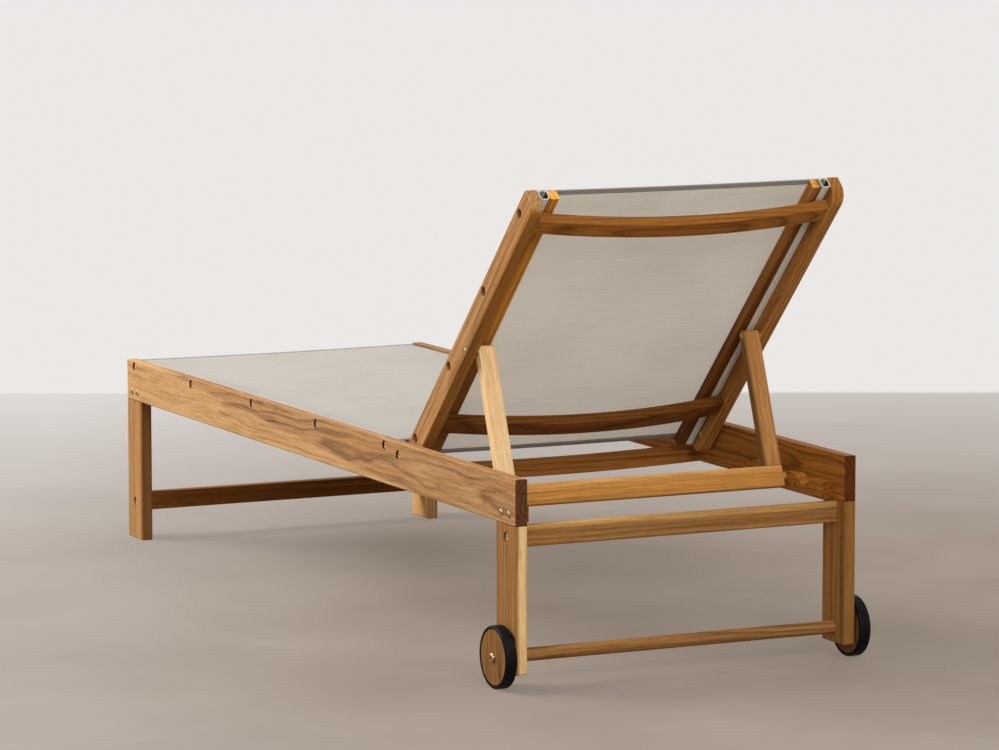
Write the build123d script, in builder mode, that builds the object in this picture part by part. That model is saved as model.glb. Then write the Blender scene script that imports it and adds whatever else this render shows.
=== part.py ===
from build123d import *
from math import cos, radians, sin
import os

# Reclining sun lounger: a wooden frame with two stretched slings, a propped backrest and two wheels.
# Millimetres. X runs across the lounger, +Y to the head end, +Z up, and the floor is at Z = 0.

# Side frame
rail_length = 1800
frame_width = 655
seat_height = 360
rail_height = 80
board = 22
leg_width = 77
wood_round = 2.5
end_chamfer = 1.8
leg_tenon = 10
leg_tenon_height = 40
leg_tenon_shoulder = 12
rear_leg_clear = 27

# Cross pieces of the side frame
stretcher_height = 36
stretcher_board = 22
front_stretcher_middle = 75
rear_rail_drop = 4
seat_rail_height = 31
seat_rail_board = 22
seat_rail_bow = 7
foot_rail_inset = 108
rear_rail_from_pivot = 69
cross_tenon = 10
cross_tenon_shoulder = 5

# Wheels
wheel_diameter = 108
tyre_thickness = 5
tyre_width = 22
tyre_chamfer = 2.5
tyre_rib = 1.5
tyre_rib_width = 12
wheel_board = 20
wheel_gap = 3
axle_dowel_diameter = 23
wheel_bolt_radius = 4
wheel_bolt_depth = 30
wheel_head_radius = 8
wheel_head_height = 4.5
wheel_washer_radius = 11

# Slings and what holds them
channel_width = 17
channel_depth = 19
channel_wall = 1.6
channel_round = 6
channel_mouth = 4.5
batten_width = 18
sling_drop = 4
sling_thickness = 1.2
bead_radius = 3.4
seat_sling_inset = 5
seat_sling_from_pivot = 54
seat_screw_inset = 40
seat_screw_pitch = 306
seat_screw_count = 5
seat_screw_drop = 11

# Backrest
back_angle = 45.9
pivot_from_head = 477
pivot_drop = 21
stile_gap = 6
stile_board = 22.5
stile_depth = 45
stile_front = 26
stile_length = 678
stile_tail = 18
stile_top_round = 25
stile_front_round = 4
stile_chamfer = 1.5
back_sling_start = -33
back_sling_inset = 1
back_screw_first = 29
back_screw_pitch = 201
back_screw_count = 4
back_screw_drop = 13.5
back_rail_height = 34
back_rail_board = 20
back_rail_bow = 22
bow_chamfer = 1.8
lower_rail_along = 95
upper_rail_along = 630

# Prop and racks
prop_along = 297.4
prop_behind = 10.9
prop_lean = 20.3
prop_width = 32
prop_board = 18
prop_round = 2
prop_side_gap = 2
prop_reach = 258
crossbar_height = 38
crossbar_round = 3
prop_tenon = 8
prop_tenon_depth = 22
prop_tenon_shoulder = 6
pin_radius = 7.5
pin_length = 7
rack_board = 22
rack_length = 285
rack_end_inset = 41
rack_ledge = 49
rack_ledge_height = 30
tooth_height = 33
tooth_top = 19
tooth_valley = 18
hump_height = 35
hump_top = 20
hump_nose = 26
hump_nose_height = 20
rack_screw_rise = 13
rack_screw_insets = (34, 192)

# Fasteners
bolt_radius = 3
bolt_head_radius = 5.5
bolt_head_height = 2.6
bolt_inset = 27
bolt_pitch = 29.5
bolt_rise = 18
bolt_length = 18
screw_radius = 2
screw_head_radius = 4.2
screw_head_height = 2.4
connector_head_radius = 8.3
connector_head_height = 2.2
seat_pocket_depth = 5.4
back_pocket_depth = 12
stretcher_pocket_depth = 5.4
screw_bite = 1
stretcher_screw_length = 52
rack_screw_length = 30
rack_pocket_radius = 5
rack_pocket_depth = 3
pivot_bolt_radius = 5
pivot_head_radius = 8.3
pivot_head_height = 2.4
pivot_pocket_depth = 5.6
pivot_end_inset = 0.5
pivot_spacer_radius = 11
prop_bolt_radius = 4
prop_head_radius = 6.4
prop_head_height = 2.6
prop_washer_radius = 9
prop_nut_radius = 6
prop_nut_thickness = 6

# Clearances
running_gap = 0.05
hole_gap = 0.1
joint_gap = 0.15
seat_gap = 0.3
pocket_gap = 0.6

# Places that follow from the sizes above
wheel_radius = wheel_diameter / 2
foot_end = -(rail_length + wheel_radius - leg_width / 2) / 2
head_end = foot_end + rail_length
rail_out = frame_width / 2
rail_in = rail_out - board
rail_middle = rail_out - board / 2
rail_top = seat_height
rail_bottom = rail_top - rail_height
front_leg_y = foot_end + leg_width / 2
rear_leg_y = head_end - leg_width / 2
rear_rail_middle = rail_bottom - rear_rail_drop - stretcher_height / 2
pivot_y = head_end - pivot_from_head
pivot_z = rail_top - pivot_drop
seat_rear_y = pivot_y - rear_rail_from_pivot
seat_foot_y = foot_end + foot_rail_inset
seat_middle_y = (seat_foot_y + seat_rear_y) / 2
seat_level = rail_top - sling_drop
seat_sling_length = pivot_y - seat_sling_from_pivot - foot_end - seat_sling_inset

stile_out = rail_in - stile_gap
stile_in = stile_out - stile_board
back_level = stile_front - sling_drop
back_sling_length = stile_length - back_sling_inset - back_sling_start
back_rail_near = back_level - channel_depth - seat_gap
back_dir = Vector(0, cos(radians(back_angle)), sin(radians(back_angle)))
back_side = Plane(origin=(0, pivot_y, pivot_z), x_dir=back_dir, z_dir=(1, 0, 0))

prop_out = stile_in - prop_side_gap
prop_in = prop_out - prop_width
prop_dir = Vector(0, sin(radians(prop_lean)), -cos(radians(prop_lean)))
prop_top = back_side.from_local_coords(Vector(prop_along, -prop_behind, 0))
prop_side = Plane(origin=prop_top, x_dir=prop_dir, z_dir=(1, 0, 0))
crossbar_start = prop_reach - crossbar_height / 2
pin_place = prop_top + prop_dir * prop_reach

rack_in = rail_in - rack_board
rack_rear = head_end - rack_end_inset
rack_front = rack_rear - rack_length
tooth_face = pin_place.Y + pin_radius + seat_gap
valley_level = pin_place.Z - pin_radius - seat_gap

wheel_middle = rail_out + wheel_gap + tyre_width / 2
wheel_out = wheel_middle + wheel_board / 2
wheel_in = wheel_middle - wheel_board / 2
disc_radius = wheel_radius - tyre_thickness

os.makedirs("parts", exist_ok=True)


def write(piece, label):
    piece.part.label = label
    export_step(piece.part, f"parts/{label}.step")


def write_pair(left, name):
    """Write a piece of the left side and its mirror image on the right side."""
    write(left, f"left_{name}")
    with BuildPart() as right:
        mirror(left.part, about=Plane.YZ)
    write(right, f"right_{name}")


def outward(x, y, z):
    """A plane at a point of the left side that faces away from the middle of the lounger."""
    return Plane(origin=(x, y, z), x_dir=(0, 1, 0), z_dir=(1, 0, 0))


def inward(x, y, z):
    return Plane(origin=(x, y, z), x_dir=(0, 1, 0), z_dir=(-1, 0, 0))


def on_back(along, front, x):
    """An outward plane at a point given in the backrest's own directions."""
    place = back_side.from_local_coords(Vector(along, front, x))
    return outward(place.X, place.Y, place.Z)


def seat_section(y):
    """A plane square to the side rails, with its y axis upwards."""
    return Plane(origin=(0, y, 0), x_dir=(1, 0, 0), z_dir=(0, -1, 0))


def back_section(along):
    """A plane square to the stiles, with its y axis towards the sitter."""
    place = back_side.from_local_coords(Vector(along, 0, 0))
    return Plane(origin=place, x_dir=(1, 0, 0), z_dir=-back_dir)


# Spots that fasteners share with their holes
leg_bolt_ys = [foot_end + bolt_inset, foot_end + bolt_inset + bolt_pitch,
               head_end - bolt_inset - bolt_pitch, head_end - bolt_inset]
connector_pocket_radius = connector_head_radius + pocket_gap
seat_screw_ys = [foot_end + seat_screw_inset + i * seat_screw_pitch for i in range(seat_screw_count)]
back_screw_alongs = [back_screw_first + i * back_screw_pitch for i in range(back_screw_count)]
rack_screw_ys = [rack_front + inset for inset in rack_screw_insets]
seat_screw_z = rail_top - seat_screw_drop
back_screw_front = stile_front - back_screw_drop
rack_screw_z = rail_bottom + rack_screw_rise
leg_bolt_z = rail_bottom + bolt_rise


def side_rail():
    with BuildPart() as rail:
        with BuildSketch(Plane.YZ.offset(rail_in)):
            with Locations(((foot_end + head_end) / 2, (rail_top + rail_bottom) / 2)):
                Rectangle(rail_length, rail_height)
        extrude(amount=board)
        fillet(rail.edges().filter_by(Axis.Y), wood_round)
        chamfer(rail.faces().filter_by(Axis.Y).edges(), end_chamfer)
        with Locations(*[outward(rail_out, y, leg_bolt_z) for y in leg_bolt_ys]):
            Hole(bolt_radius + hole_gap, bolt_length + hole_gap)
        with Locations(*[outward(rail_out, y, seat_screw_z) for y in seat_screw_ys]):
            CounterBoreHole(screw_radius + hole_gap, connector_pocket_radius, seat_pocket_depth)
        with Locations(outward(rail_out, pivot_y, pivot_z)):
            CounterBoreHole(pivot_bolt_radius + hole_gap, pivot_head_radius + pocket_gap, pivot_pocket_depth)
        with Locations(*[inward(rail_in, y, rack_screw_z) for y in rack_screw_ys]):
            Hole(screw_radius + hole_gap, rack_screw_length + rack_pocket_depth - rack_board + joint_gap)
        with BuildSketch(Plane.XY.offset(rail_bottom)):
            with Locations((rail_middle, front_leg_y), (rail_middle, rear_leg_y)):
                Rectangle(leg_tenon + 2 * joint_gap, leg_width - 2 * leg_tenon_shoulder + 2 * joint_gap)
        extrude(amount=leg_tenon_height + joint_gap, mode=Mode.SUBTRACT)
        with BuildSketch(Plane.YZ.offset(rail_in)):
            with Locations(*[(y, rail_bottom + seat_rail_height / 2)
                             for y in (seat_foot_y, seat_middle_y, seat_rear_y)]):
                Rectangle(seat_rail_board - 2 * cross_tenon_shoulder + 2 * joint_gap,
                          seat_rail_height - 2 * cross_tenon_shoulder + 2 * joint_gap)
        extrude(amount=cross_tenon + joint_gap, mode=Mode.SUBTRACT)
    return rail


def leg(middle_y, bottom, screw_z):
    with BuildPart() as post:
        with BuildSketch(Plane.XY.offset(bottom)):
            with Locations((rail_middle, middle_y)):
                Rectangle(board, leg_width)
        extrude(amount=rail_bottom - bottom)
        fillet(post.edges().filter_by(Axis.Z), wood_round)
        chamfer(post.faces().sort_by(Axis.Z)[0].edges(), end_chamfer)
        with BuildSketch(Plane.XY.offset(rail_bottom)):
            with Locations((rail_middle, middle_y)):
                Rectangle(leg_tenon, leg_width - 2 * leg_tenon_shoulder)
        extrude(amount=leg_tenon_height)
        with Locations(*[outward(rail_out, y, leg_bolt_z) for y in leg_bolt_ys]):
            Hole(bolt_radius + hole_gap, bolt_length + hole_gap)
        with Locations(outward(rail_out, middle_y, screw_z)):
            CounterBoreHole(screw_radius + hole_gap, connector_pocket_radius, stretcher_pocket_depth)
        if bottom > 0:
            with Locations(outward(rail_out, middle_y, wheel_radius)):
                Hole(wheel_bolt_radius + hole_gap)
    return post


def stretcher(middle_y, middle_z):
    """A straight bar between two legs, drilled at both ends for its screws."""
    with BuildPart() as bar:
        with BuildSketch(Plane.YZ.offset(-rail_in)):
            with Locations((middle_y, middle_z)):
                Rectangle(stretcher_board, stretcher_height)
        extrude(amount=2 * rail_in)
        fillet(bar.edges().filter_by(Axis.X), wood_round)
        with Locations(outward(rail_in, middle_y, middle_z), inward(-rail_in, middle_y, middle_z)):
            Hole(screw_radius + hole_gap, stretcher_screw_length + stretcher_pocket_depth - board + joint_gap)
    return bar


def bowed_bar(plane, half_span, near, deep, bow, thick):
    """A cross rail that bows away from the sitter between its two tenons.

    The plane's x axis runs across and its y axis to the sitter. The ends reach from near by deep.
    """
    far = near - deep
    with BuildPart() as bar:
        with BuildSketch(plane):
            with BuildLine():
                ThreePointArc((-half_span, near), (0, near - bow), (half_span, near))
                Line((half_span, near), (half_span, far))
                ThreePointArc((half_span, far), (0, far - bow), (-half_span, far))
                Line((-half_span, far), (-half_span, near))
            make_face()
        extrude(amount=thick / 2, both=True)
        chamfer(bar.edges().filter_by(GeomType.CIRCLE), bow_chamfer)
        with BuildSketch(plane):
            with Locations((0, near - deep / 2)):
                Rectangle(2 * (half_span + cross_tenon), deep - 2 * cross_tenon_shoulder)
                Rectangle(2 * half_span - cross_tenon, deep, mode=Mode.SUBTRACT)
        extrude(amount=thick / 2 - cross_tenon_shoulder, both=True)
    return bar


def channel(plane, outer_x, level, length, screw_spots):
    """The metal channel that grips a sling's beaded edge, with its mouth towards the sitter."""
    middle = outer_x - channel_width / 2
    with BuildPart() as profile:
        with BuildSketch(plane) as outline:
            with Locations((middle, level - channel_depth / 2)):
                Rectangle(channel_width, channel_depth)
            fillet(outline.vertices().group_by(Axis.Y)[0], channel_round)
        extrude(amount=-length)
        with BuildSketch(plane) as hollow:
            with Locations((middle, level - channel_depth / 2)):
                Rectangle(channel_width - 2 * channel_wall, channel_depth - 2 * channel_wall)
            fillet(hollow.vertices().group_by(Axis.Y)[0], channel_round - channel_wall)
            with Locations((middle, level - channel_wall)):
                Rectangle(channel_mouth, 4 * channel_wall)
        extrude(amount=-length, mode=Mode.SUBTRACT)
        with Locations(*screw_spots):
            Hole(screw_radius + hole_gap, 2 * channel_wall)
    return profile


def batten(plane, outer_x, level, length):
    with BuildPart() as strip:
        with BuildSketch(plane):
            with Locations((outer_x - batten_width / 2, level - channel_depth / 2)):
                RectangleRounded(batten_width, channel_depth, wood_round)
        extrude(amount=-length)
    return strip


def sling(plane, bead_x, level, length):
    """A stretched sheet over the battens, with a beaded edge hanging in each channel."""
    sheet = level + seat_gap + sling_thickness / 2
    bead = level - channel_wall - seat_gap - bead_radius
    with BuildPart() as cloth:
        with BuildSketch(plane):
            with Locations((0, sheet)):
                Rectangle(2 * bead_x + sling_thickness, sling_thickness)
            with Locations((bead_x, (sheet + bead) / 2), (-bead_x, (sheet + bead) / 2)):
                Rectangle(sling_thickness, sheet - bead)
            with Locations((bead_x, bead), (-bead_x, bead)):
                Circle(bead_radius)
        extrude(amount=-length)
    return cloth


def rack():
    """The notched block inside a side rail, whose upright faces take the prop's thrust."""
    ledge_face = rack_rear - rack_ledge
    ledge_level = rail_bottom + rack_ledge_height
    tooth_level = rail_bottom + tooth_height
    hump_level = rail_bottom + hump_height
    with BuildPart() as block:
        with BuildSketch(Plane.YZ.offset(rack_in)):
            with BuildLine():
                Polyline((rack_front, rail_bottom), (rack_rear, rail_bottom), (rack_rear, ledge_level),
                         (ledge_face, ledge_level), (ledge_face, valley_level),
                         (ledge_face - tooth_valley, valley_level), (tooth_face + tooth_top, tooth_level),
                         (tooth_face, tooth_level), (tooth_face, valley_level),
                         (tooth_face - tooth_valley, valley_level),
                         (rack_front + hump_nose + hump_top, hump_level),
                         (rack_front + hump_nose, hump_level),
                         (rack_front, rail_bottom + hump_nose_height), close=True)
            make_face()
        extrude(amount=rack_board)
        with Locations(*[inward(rack_in, y, rack_screw_z) for y in rack_screw_ys]):
            CounterBoreHole(screw_radius + hole_gap, rack_pocket_radius, rack_pocket_depth)
    return block


def stile():
    with BuildPart() as post:
        with BuildSketch(back_side.offset(stile_in)) as outline:
            with Locations(((stile_length - stile_tail) / 2, stile_front - stile_depth / 2)):
                Rectangle(stile_length + stile_tail, stile_depth)
            top_corners = outline.vertices().group_by(Axis.X)[-1].sort_by(Axis.Y)
            fillet(top_corners[0], stile_top_round)
            fillet(outline.vertices().sort_by_distance((stile_length, stile_front))[0], stile_front_round)
            with Locations((-stile_tail, stile_front - stile_depth / 2)):
                Circle(stile_depth / 2)
        extrude(amount=stile_board)
        chamfer(post.faces().filter_by(Axis.X).edges(), stile_chamfer)
        with Locations(on_back(0, 0, stile_out)):
            Hole(pivot_bolt_radius + running_gap)
        with Locations(on_back(prop_along, -prop_behind, stile_out)):
            CounterBoreHole(prop_bolt_radius + hole_gap, prop_head_radius + seat_gap, prop_head_height)
        with Locations(*[on_back(along, back_screw_front, stile_out) for along in back_screw_alongs]):
            CounterBoreHole(screw_radius + hole_gap, connector_pocket_radius, back_pocket_depth)
        with BuildSketch(back_side.offset(stile_in)):
            with Locations(*[(along, back_rail_near - back_rail_board / 2)
                             for along in (lower_rail_along, upper_rail_along)]):
                Rectangle(back_rail_height - 2 * cross_tenon_shoulder + 2 * joint_gap,
                          back_rail_board - 2 * cross_tenon_shoulder + 2 * joint_gap)
        extrude(amount=cross_tenon + joint_gap, mode=Mode.SUBTRACT)
    return post


def prop_leg():
    with BuildPart() as leg_bar:
        with BuildSketch(prop_side.offset(prop_in)):
            Circle(prop_board / 2)
            with Locations((crossbar_start / 2, 0)):
                Rectangle(crossbar_start, prop_board)
        extrude(amount=prop_width)
        fillet(leg_bar.edges().filter_by(Axis((0, 0, 0), prop_dir)), prop_round)
        with BuildSketch(prop_side.offset(prop_in + prop_tenon_shoulder)):
            with Locations((crossbar_start, 0)):
                Rectangle(2 * prop_tenon_depth, prop_tenon)
        extrude(amount=prop_width - 2 * prop_tenon_shoulder)
        with Locations(inward(prop_in, prop_top.Y, prop_top.Z)):
            CounterBoreHole(prop_bolt_radius + running_gap, prop_nut_radius + seat_gap,
                            prop_nut_thickness + seat_gap)
    return leg_bar


def prop_crossbar():
    """The bar across the prop's feet, with a round pin on each end that rests in the racks."""
    tenon_gap = prop_tenon + 2 * joint_gap
    tenon_width = prop_width - 2 * prop_tenon_shoulder + 2 * joint_gap
    with BuildPart() as bar:
        with BuildSketch(prop_side.offset(-prop_out)):
            with Locations((prop_reach, 0)):
                Rectangle(crossbar_height, prop_board)
        extrude(amount=2 * prop_out)
        fillet(bar.edges().filter_by(Axis.X), crossbar_round)
        with BuildSketch(prop_side.offset(-prop_out - pin_length)):
            with Locations((prop_reach, 0)):
                Circle(pin_radius)
        extrude(amount=2 * (prop_out + pin_length))
        for side in (-1, 1):
            middle = side * (prop_in + prop_out) / 2
            with BuildSketch(prop_side.offset(middle)):
                with Locations((crossbar_start, 0)):
                    Rectangle(2 * (prop_tenon_depth + joint_gap), tenon_gap)
            extrude(amount=tenon_width / 2, both=True, mode=Mode.SUBTRACT)
    return bar


def axle_dowel():
    with BuildPart() as dowel:
        with BuildSketch(Plane.YZ.offset(-rail_in)):
            with Locations((rear_leg_y, wheel_radius)):
                Circle(axle_dowel_diameter / 2)
        extrude(amount=2 * rail_in)
        with Locations(outward(rail_in, rear_leg_y, wheel_radius),
                       inward(-rail_in, rear_leg_y, wheel_radius)):
            Hole(wheel_bolt_radius + hole_gap, wheel_bolt_depth + joint_gap)
    return dowel


wheel_section = Plane(origin=(wheel_middle, rear_leg_y, wheel_radius), x_dir=(1, 0, 0), z_dir=(0, -1, 0))
wheel_axis = Axis((0, rear_leg_y, wheel_radius), (1, 0, 0))


def wheel_disc():
    bore = wheel_bolt_radius + running_gap
    with BuildPart() as disc:
        with BuildSketch(wheel_section) as outline:
            with Locations((0, (disc_radius + bore) / 2)):
                Rectangle(wheel_board, disc_radius - bore)
            chamfer(outline.vertices().group_by(Axis.Y)[-1], end_chamfer)
            with Locations((0, disc_radius)):
                Rectangle(tyre_rib_width, 2 * tyre_rib, mode=Mode.SUBTRACT)
        revolve(axis=wheel_axis)
    return disc


def tyre():
    """The rubber tyre, with a rib on its inside that sits in the disc's groove."""
    inside = disc_radius + joint_gap
    with BuildPart() as band:
        with BuildSketch(wheel_section) as outline:
            with Locations((0, (wheel_radius + inside) / 2)):
                Rectangle(tyre_width, wheel_radius - inside)
            chamfer(outline.vertices().group_by(Axis.Y)[-1], tyre_chamfer)
            with Locations((0, inside)):
                Rectangle(tyre_rib_width - 2 * seat_gap, 2 * tyre_rib)
        revolve(axis=wheel_axis)
    return band


def headed_pin(head_radius, head_height, shank_radius, shank_length):
    """A bolt or screw with a bevelled head above its origin and its shank below."""
    bevel = head_height / 2
    with BuildPart() as pin:
        with BuildSketch(Plane.XZ):
            with BuildLine():
                Polyline((0, -shank_length), (shank_radius, -shank_length), (shank_radius, 0),
                         (head_radius, 0), (head_radius, head_height - bevel),
                         (head_radius - bevel, head_height), (0, head_height), close=True)
            make_face()
        revolve(axis=Axis.Z)
    return pin.part


def ring(inner_radius, outer_radius, thickness):
    with BuildPart() as washer:
        with BuildSketch():
            Circle(outer_radius)
            Circle(inner_radius, mode=Mode.SUBTRACT)
        extrude(amount=thickness)
    return washer.part


def write_fasteners(fastener, spots, label):
    """Put one fastener at every spot of the left side, and mirror them all to the right side."""
    with BuildPart() as row:
        with Locations(*spots):
            add(fastener)
        mirror(about=Plane.YZ)
    write(row, label)


# The side frame
write_pair(side_rail(), "side_rail")
write_pair(leg(front_leg_y, 0, front_stretcher_middle), "front_leg")
write_pair(leg(rear_leg_y, rear_leg_clear, rear_rail_middle), "rear_leg")
write(stretcher(front_leg_y, front_stretcher_middle), "front_stretcher")
write(stretcher(rear_leg_y, rear_rail_middle), "rear_cross_rail")
write(axle_dowel(), "axle_dowel")
for name, y in (("foot", seat_foot_y), ("middle", seat_middle_y), ("rear", seat_rear_y)):
    write(bowed_bar(seat_section(y), rail_in, rail_bottom + seat_rail_height, seat_rail_height,
                    seat_rail_bow, seat_rail_board), f"seat_{name}_rail")
write_pair(rack(), "rack")

# The seat sling and its holders
seat_plane = seat_section(foot_end + seat_sling_inset)
seat_channel_spots = [outward(rail_in, y, seat_screw_z) for y in seat_screw_ys]
write_pair(channel(seat_plane, rail_in, seat_level, seat_sling_length, seat_channel_spots), "seat_channel")
write_pair(batten(seat_plane, rail_in - channel_width, seat_level, seat_sling_length), "seat_batten")
write(sling(seat_plane, rail_in - channel_width / 2, seat_level, seat_sling_length), "seat_sling")

# The backrest
write_pair(stile(), "stile")
back_plane = back_section(back_sling_start)
back_channel_spots = [on_back(along, back_screw_front, stile_in) for along in back_screw_alongs]
write_pair(channel(back_plane, stile_in, back_level, back_sling_length, back_channel_spots), "back_channel")
write_pair(batten(back_plane, stile_in - channel_width, back_level, back_sling_length), "back_batten")
write(sling(back_plane, stile_in - channel_width / 2, back_level, back_sling_length), "back_sling")
for name, along in (("lower", lower_rail_along), ("upper", upper_rail_along)):
    write(bowed_bar(back_section(along), stile_in, back_rail_near, back_rail_board,
                    back_rail_bow, back_rail_height), f"{name}_back_rail")

# The prop
write_pair(prop_leg(), "prop_leg")
write(prop_crossbar(), "prop_crossbar")

# The wheels
write_pair(wheel_disc(), "wheel_disc")
write_pair(tyre(), "tyre")

# Fasteners of the side frame
write_fasteners(headed_pin(bolt_head_radius, bolt_head_height, bolt_radius, bolt_length),
                [outward(rail_out, y, leg_bolt_z) for y in leg_bolt_ys], "leg_bolts")
stretcher_screw_seat = rail_out - stretcher_pocket_depth
connector_head = (connector_head_radius, connector_head_height)
write_fasteners(headed_pin(*connector_head, screw_radius, stretcher_screw_length),
                [outward(stretcher_screw_seat, front_leg_y, front_stretcher_middle),
                 outward(stretcher_screw_seat, rear_leg_y, rear_rail_middle)], "stretcher_screws")
seat_screw_length = board - seat_pocket_depth + channel_wall + screw_bite
write_fasteners(headed_pin(*connector_head, screw_radius, seat_screw_length),
                [outward(rail_out - seat_pocket_depth, y, seat_screw_z) for y in seat_screw_ys],
                "seat_sling_screws")
write_fasteners(headed_pin(screw_head_radius, screw_head_height, screw_radius, rack_screw_length),
                [inward(rack_in + rack_pocket_depth, y, rack_screw_z) for y in rack_screw_ys], "rack_screws")

# Fasteners of the backrest
back_screw_length = stile_board - back_pocket_depth + channel_wall + screw_bite
write_fasteners(headed_pin(*connector_head, screw_radius, back_screw_length),
                [on_back(along, back_screw_front, stile_out - back_pocket_depth)
                 for along in back_screw_alongs], "back_sling_screws")

# The pivots of the backrest, the prop and the wheels
pivot_length = rail_out - pivot_pocket_depth - stile_in - pivot_end_inset
write_fasteners(headed_pin(pivot_head_radius, pivot_head_height, pivot_bolt_radius, pivot_length),
                [outward(rail_out - pivot_pocket_depth, pivot_y, pivot_z)], "recline_bolts")
write_fasteners(ring(pivot_bolt_radius + hole_gap, pivot_spacer_radius, stile_gap - seat_gap),
                [outward(stile_out + seat_gap, pivot_y, pivot_z)], "recline_spacers")

prop_seat = stile_out - prop_head_height
prop_length = prop_seat - prop_in - pivot_end_inset
write_fasteners(headed_pin(prop_head_radius, prop_head_height, prop_bolt_radius, prop_length),
                [on_back(prop_along, -prop_behind, prop_seat)], "prop_bolts")
write_fasteners(ring(prop_bolt_radius + hole_gap, prop_nut_radius, prop_nut_thickness),
                [outward(prop_in, prop_top.Y, prop_top.Z)], "prop_nuts")
write_fasteners(ring(prop_bolt_radius + hole_gap, prop_washer_radius, prop_side_gap - seat_gap),
                [outward(prop_out + seat_gap, prop_top.Y, prop_top.Z)], "prop_washers")

wheel_length = wheel_out + seat_gap - rail_in + wheel_bolt_depth
write_fasteners(headed_pin(wheel_head_radius, wheel_head_height, wheel_bolt_radius, wheel_length),
                [outward(wheel_out + seat_gap, rear_leg_y, wheel_radius)], "wheel_bolts")
write_fasteners(ring(wheel_bolt_radius + hole_gap, wheel_washer_radius, wheel_in - rail_out - seat_gap),
                [outward(rail_out, rear_leg_y, wheel_radius)], "wheel_washers")
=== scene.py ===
import math

import bpy
from mathutils import Matrix, Vector


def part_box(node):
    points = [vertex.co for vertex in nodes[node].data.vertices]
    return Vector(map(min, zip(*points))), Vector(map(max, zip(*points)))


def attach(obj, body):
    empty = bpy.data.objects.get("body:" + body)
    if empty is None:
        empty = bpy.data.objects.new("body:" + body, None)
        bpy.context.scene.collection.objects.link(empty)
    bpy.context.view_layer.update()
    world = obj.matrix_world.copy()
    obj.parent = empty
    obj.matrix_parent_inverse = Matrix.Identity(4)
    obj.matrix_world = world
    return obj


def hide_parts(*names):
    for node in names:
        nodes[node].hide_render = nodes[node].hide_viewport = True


# Reclining sun lounger: oiled hardwood frame, stretched mesh slings, brass-coloured fasteners.
# Metres. +X is the lounger's left side, +Y its head end with the wheels, +Z is up.

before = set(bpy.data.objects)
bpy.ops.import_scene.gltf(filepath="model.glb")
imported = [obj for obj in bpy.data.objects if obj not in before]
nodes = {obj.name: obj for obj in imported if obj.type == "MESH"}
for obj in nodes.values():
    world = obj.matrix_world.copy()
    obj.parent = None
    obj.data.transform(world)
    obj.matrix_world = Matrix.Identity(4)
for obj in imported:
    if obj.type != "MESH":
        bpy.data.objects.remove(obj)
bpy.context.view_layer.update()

# The backrest's angle above level, its own directions, and the prop's lean from upright
back_angle = math.radians(45.9)
back_along = Vector((0, math.cos(back_angle), math.sin(back_angle)))
back_front = Vector((0, -math.sin(back_angle), math.cos(back_angle)))
back_rear = -back_front
prop_lean = math.radians(20.3)

# Sling cloths: how far they sag in the middle, the share of that at their ends, and their grid
cloth_thickness = 0.0011
cloth_sag = 0.003
end_sag_share = 0.6
cloth_columns = 28
cloth_rows = 48

# The bead in a cloth's long edge, where the cloth turns down and wraps round a plastic core
bead_radius = 0.0034
bead_inset = 0.03
bead_outset = 0.0018
bead_drop = 0.0064
bead_wrap = math.radians(320)
edge_out = 0.0006
edge_down = 0.0008
core_radius = 0.0016
core_inset = 0.034

# Hems and stitches: a hem ends short of the channels' outer walls, and its stitches short of the hem
hem_width = 0.012
hem_thickness = 0.0026
hem_setback = 0.0015
hem_steps = 12
stitch_length = 0.0026
stitch_pitch = 0.0038
stitch_radius = 0.0004
stitch_setback = 0.004
stitch_line = 0.72

# Tyres
tyre_thickness = 0.00485
tyre_shoulder = 0.0038

# Points closer than this are one
merge_distance = 0.000001

# Turns that lay a board's length along X in its grain pattern
along_x = (0, 0, 0)
along_y = (0, 0, -math.pi / 2)
along_z = (0, math.pi / 2, 0)
along_back = (-back_angle, 0, -math.pi / 2)
along_prop = (math.pi / 2 - prop_lean, 0, -math.pi / 2)


def deselect():
    """Leave edit mode and select nothing."""
    if bpy.context.object and bpy.context.object.mode != "OBJECT":
        bpy.ops.object.mode_set(mode="OBJECT")
    bpy.ops.object.select_all(action="DESELECT")


def take_up(piece):
    """Make one piece the selected and active one."""
    deselect()
    piece.select_set(True)
    bpy.context.view_layer.objects.active = piece


def edit(piece):
    """Open a piece in edit mode, with nothing selected."""
    take_up(piece)
    bpy.ops.object.mode_set(mode="EDIT")
    bpy.ops.mesh.select_all(action="DESELECT")


def pick_faces(piece, wanted):
    """Select the faces of a piece in edit mode for which wanted(middle, normal) holds."""
    bpy.ops.object.mode_set(mode="OBJECT")
    for face in piece.data.polygons:
        face.select = wanted(face.center, face.normal)
    bpy.ops.object.mode_set(mode="EDIT")


def pick_edges(piece, wanted):
    """Select the edges of a piece in edit mode whose two ends both satisfy wanted(end)."""
    bpy.ops.object.mode_set(mode="OBJECT")
    points = piece.data.vertices
    for part in (piece.data.polygons, points):
        for item in part:
            item.select = False
    for line in piece.data.edges:
        line.select = all(wanted(points[end].co) for end in line.vertices)
    bpy.ops.object.mode_set(mode="EDIT")


def apply_modifier(piece, kind, **settings):
    take_up(piece)
    modifier = piece.modifiers.new(kind.title(), kind)
    for name, value in settings.items():
        setattr(modifier, name, value)
    bpy.ops.object.modifier_apply(modifier=modifier.name)


def settle(piece):
    """Put a piece's place and turn into its mesh."""
    take_up(piece)
    bpy.ops.object.transform_apply(location=True, rotation=True, scale=True)
    return piece


def copy_of(piece, place):
    """A copy of a piece with a mesh of its own, moved to a place."""
    double = piece.copy()
    double.data = piece.data.copy()
    double.data.transform(place)
    bpy.context.scene.collection.objects.link(double)
    return double


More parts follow.
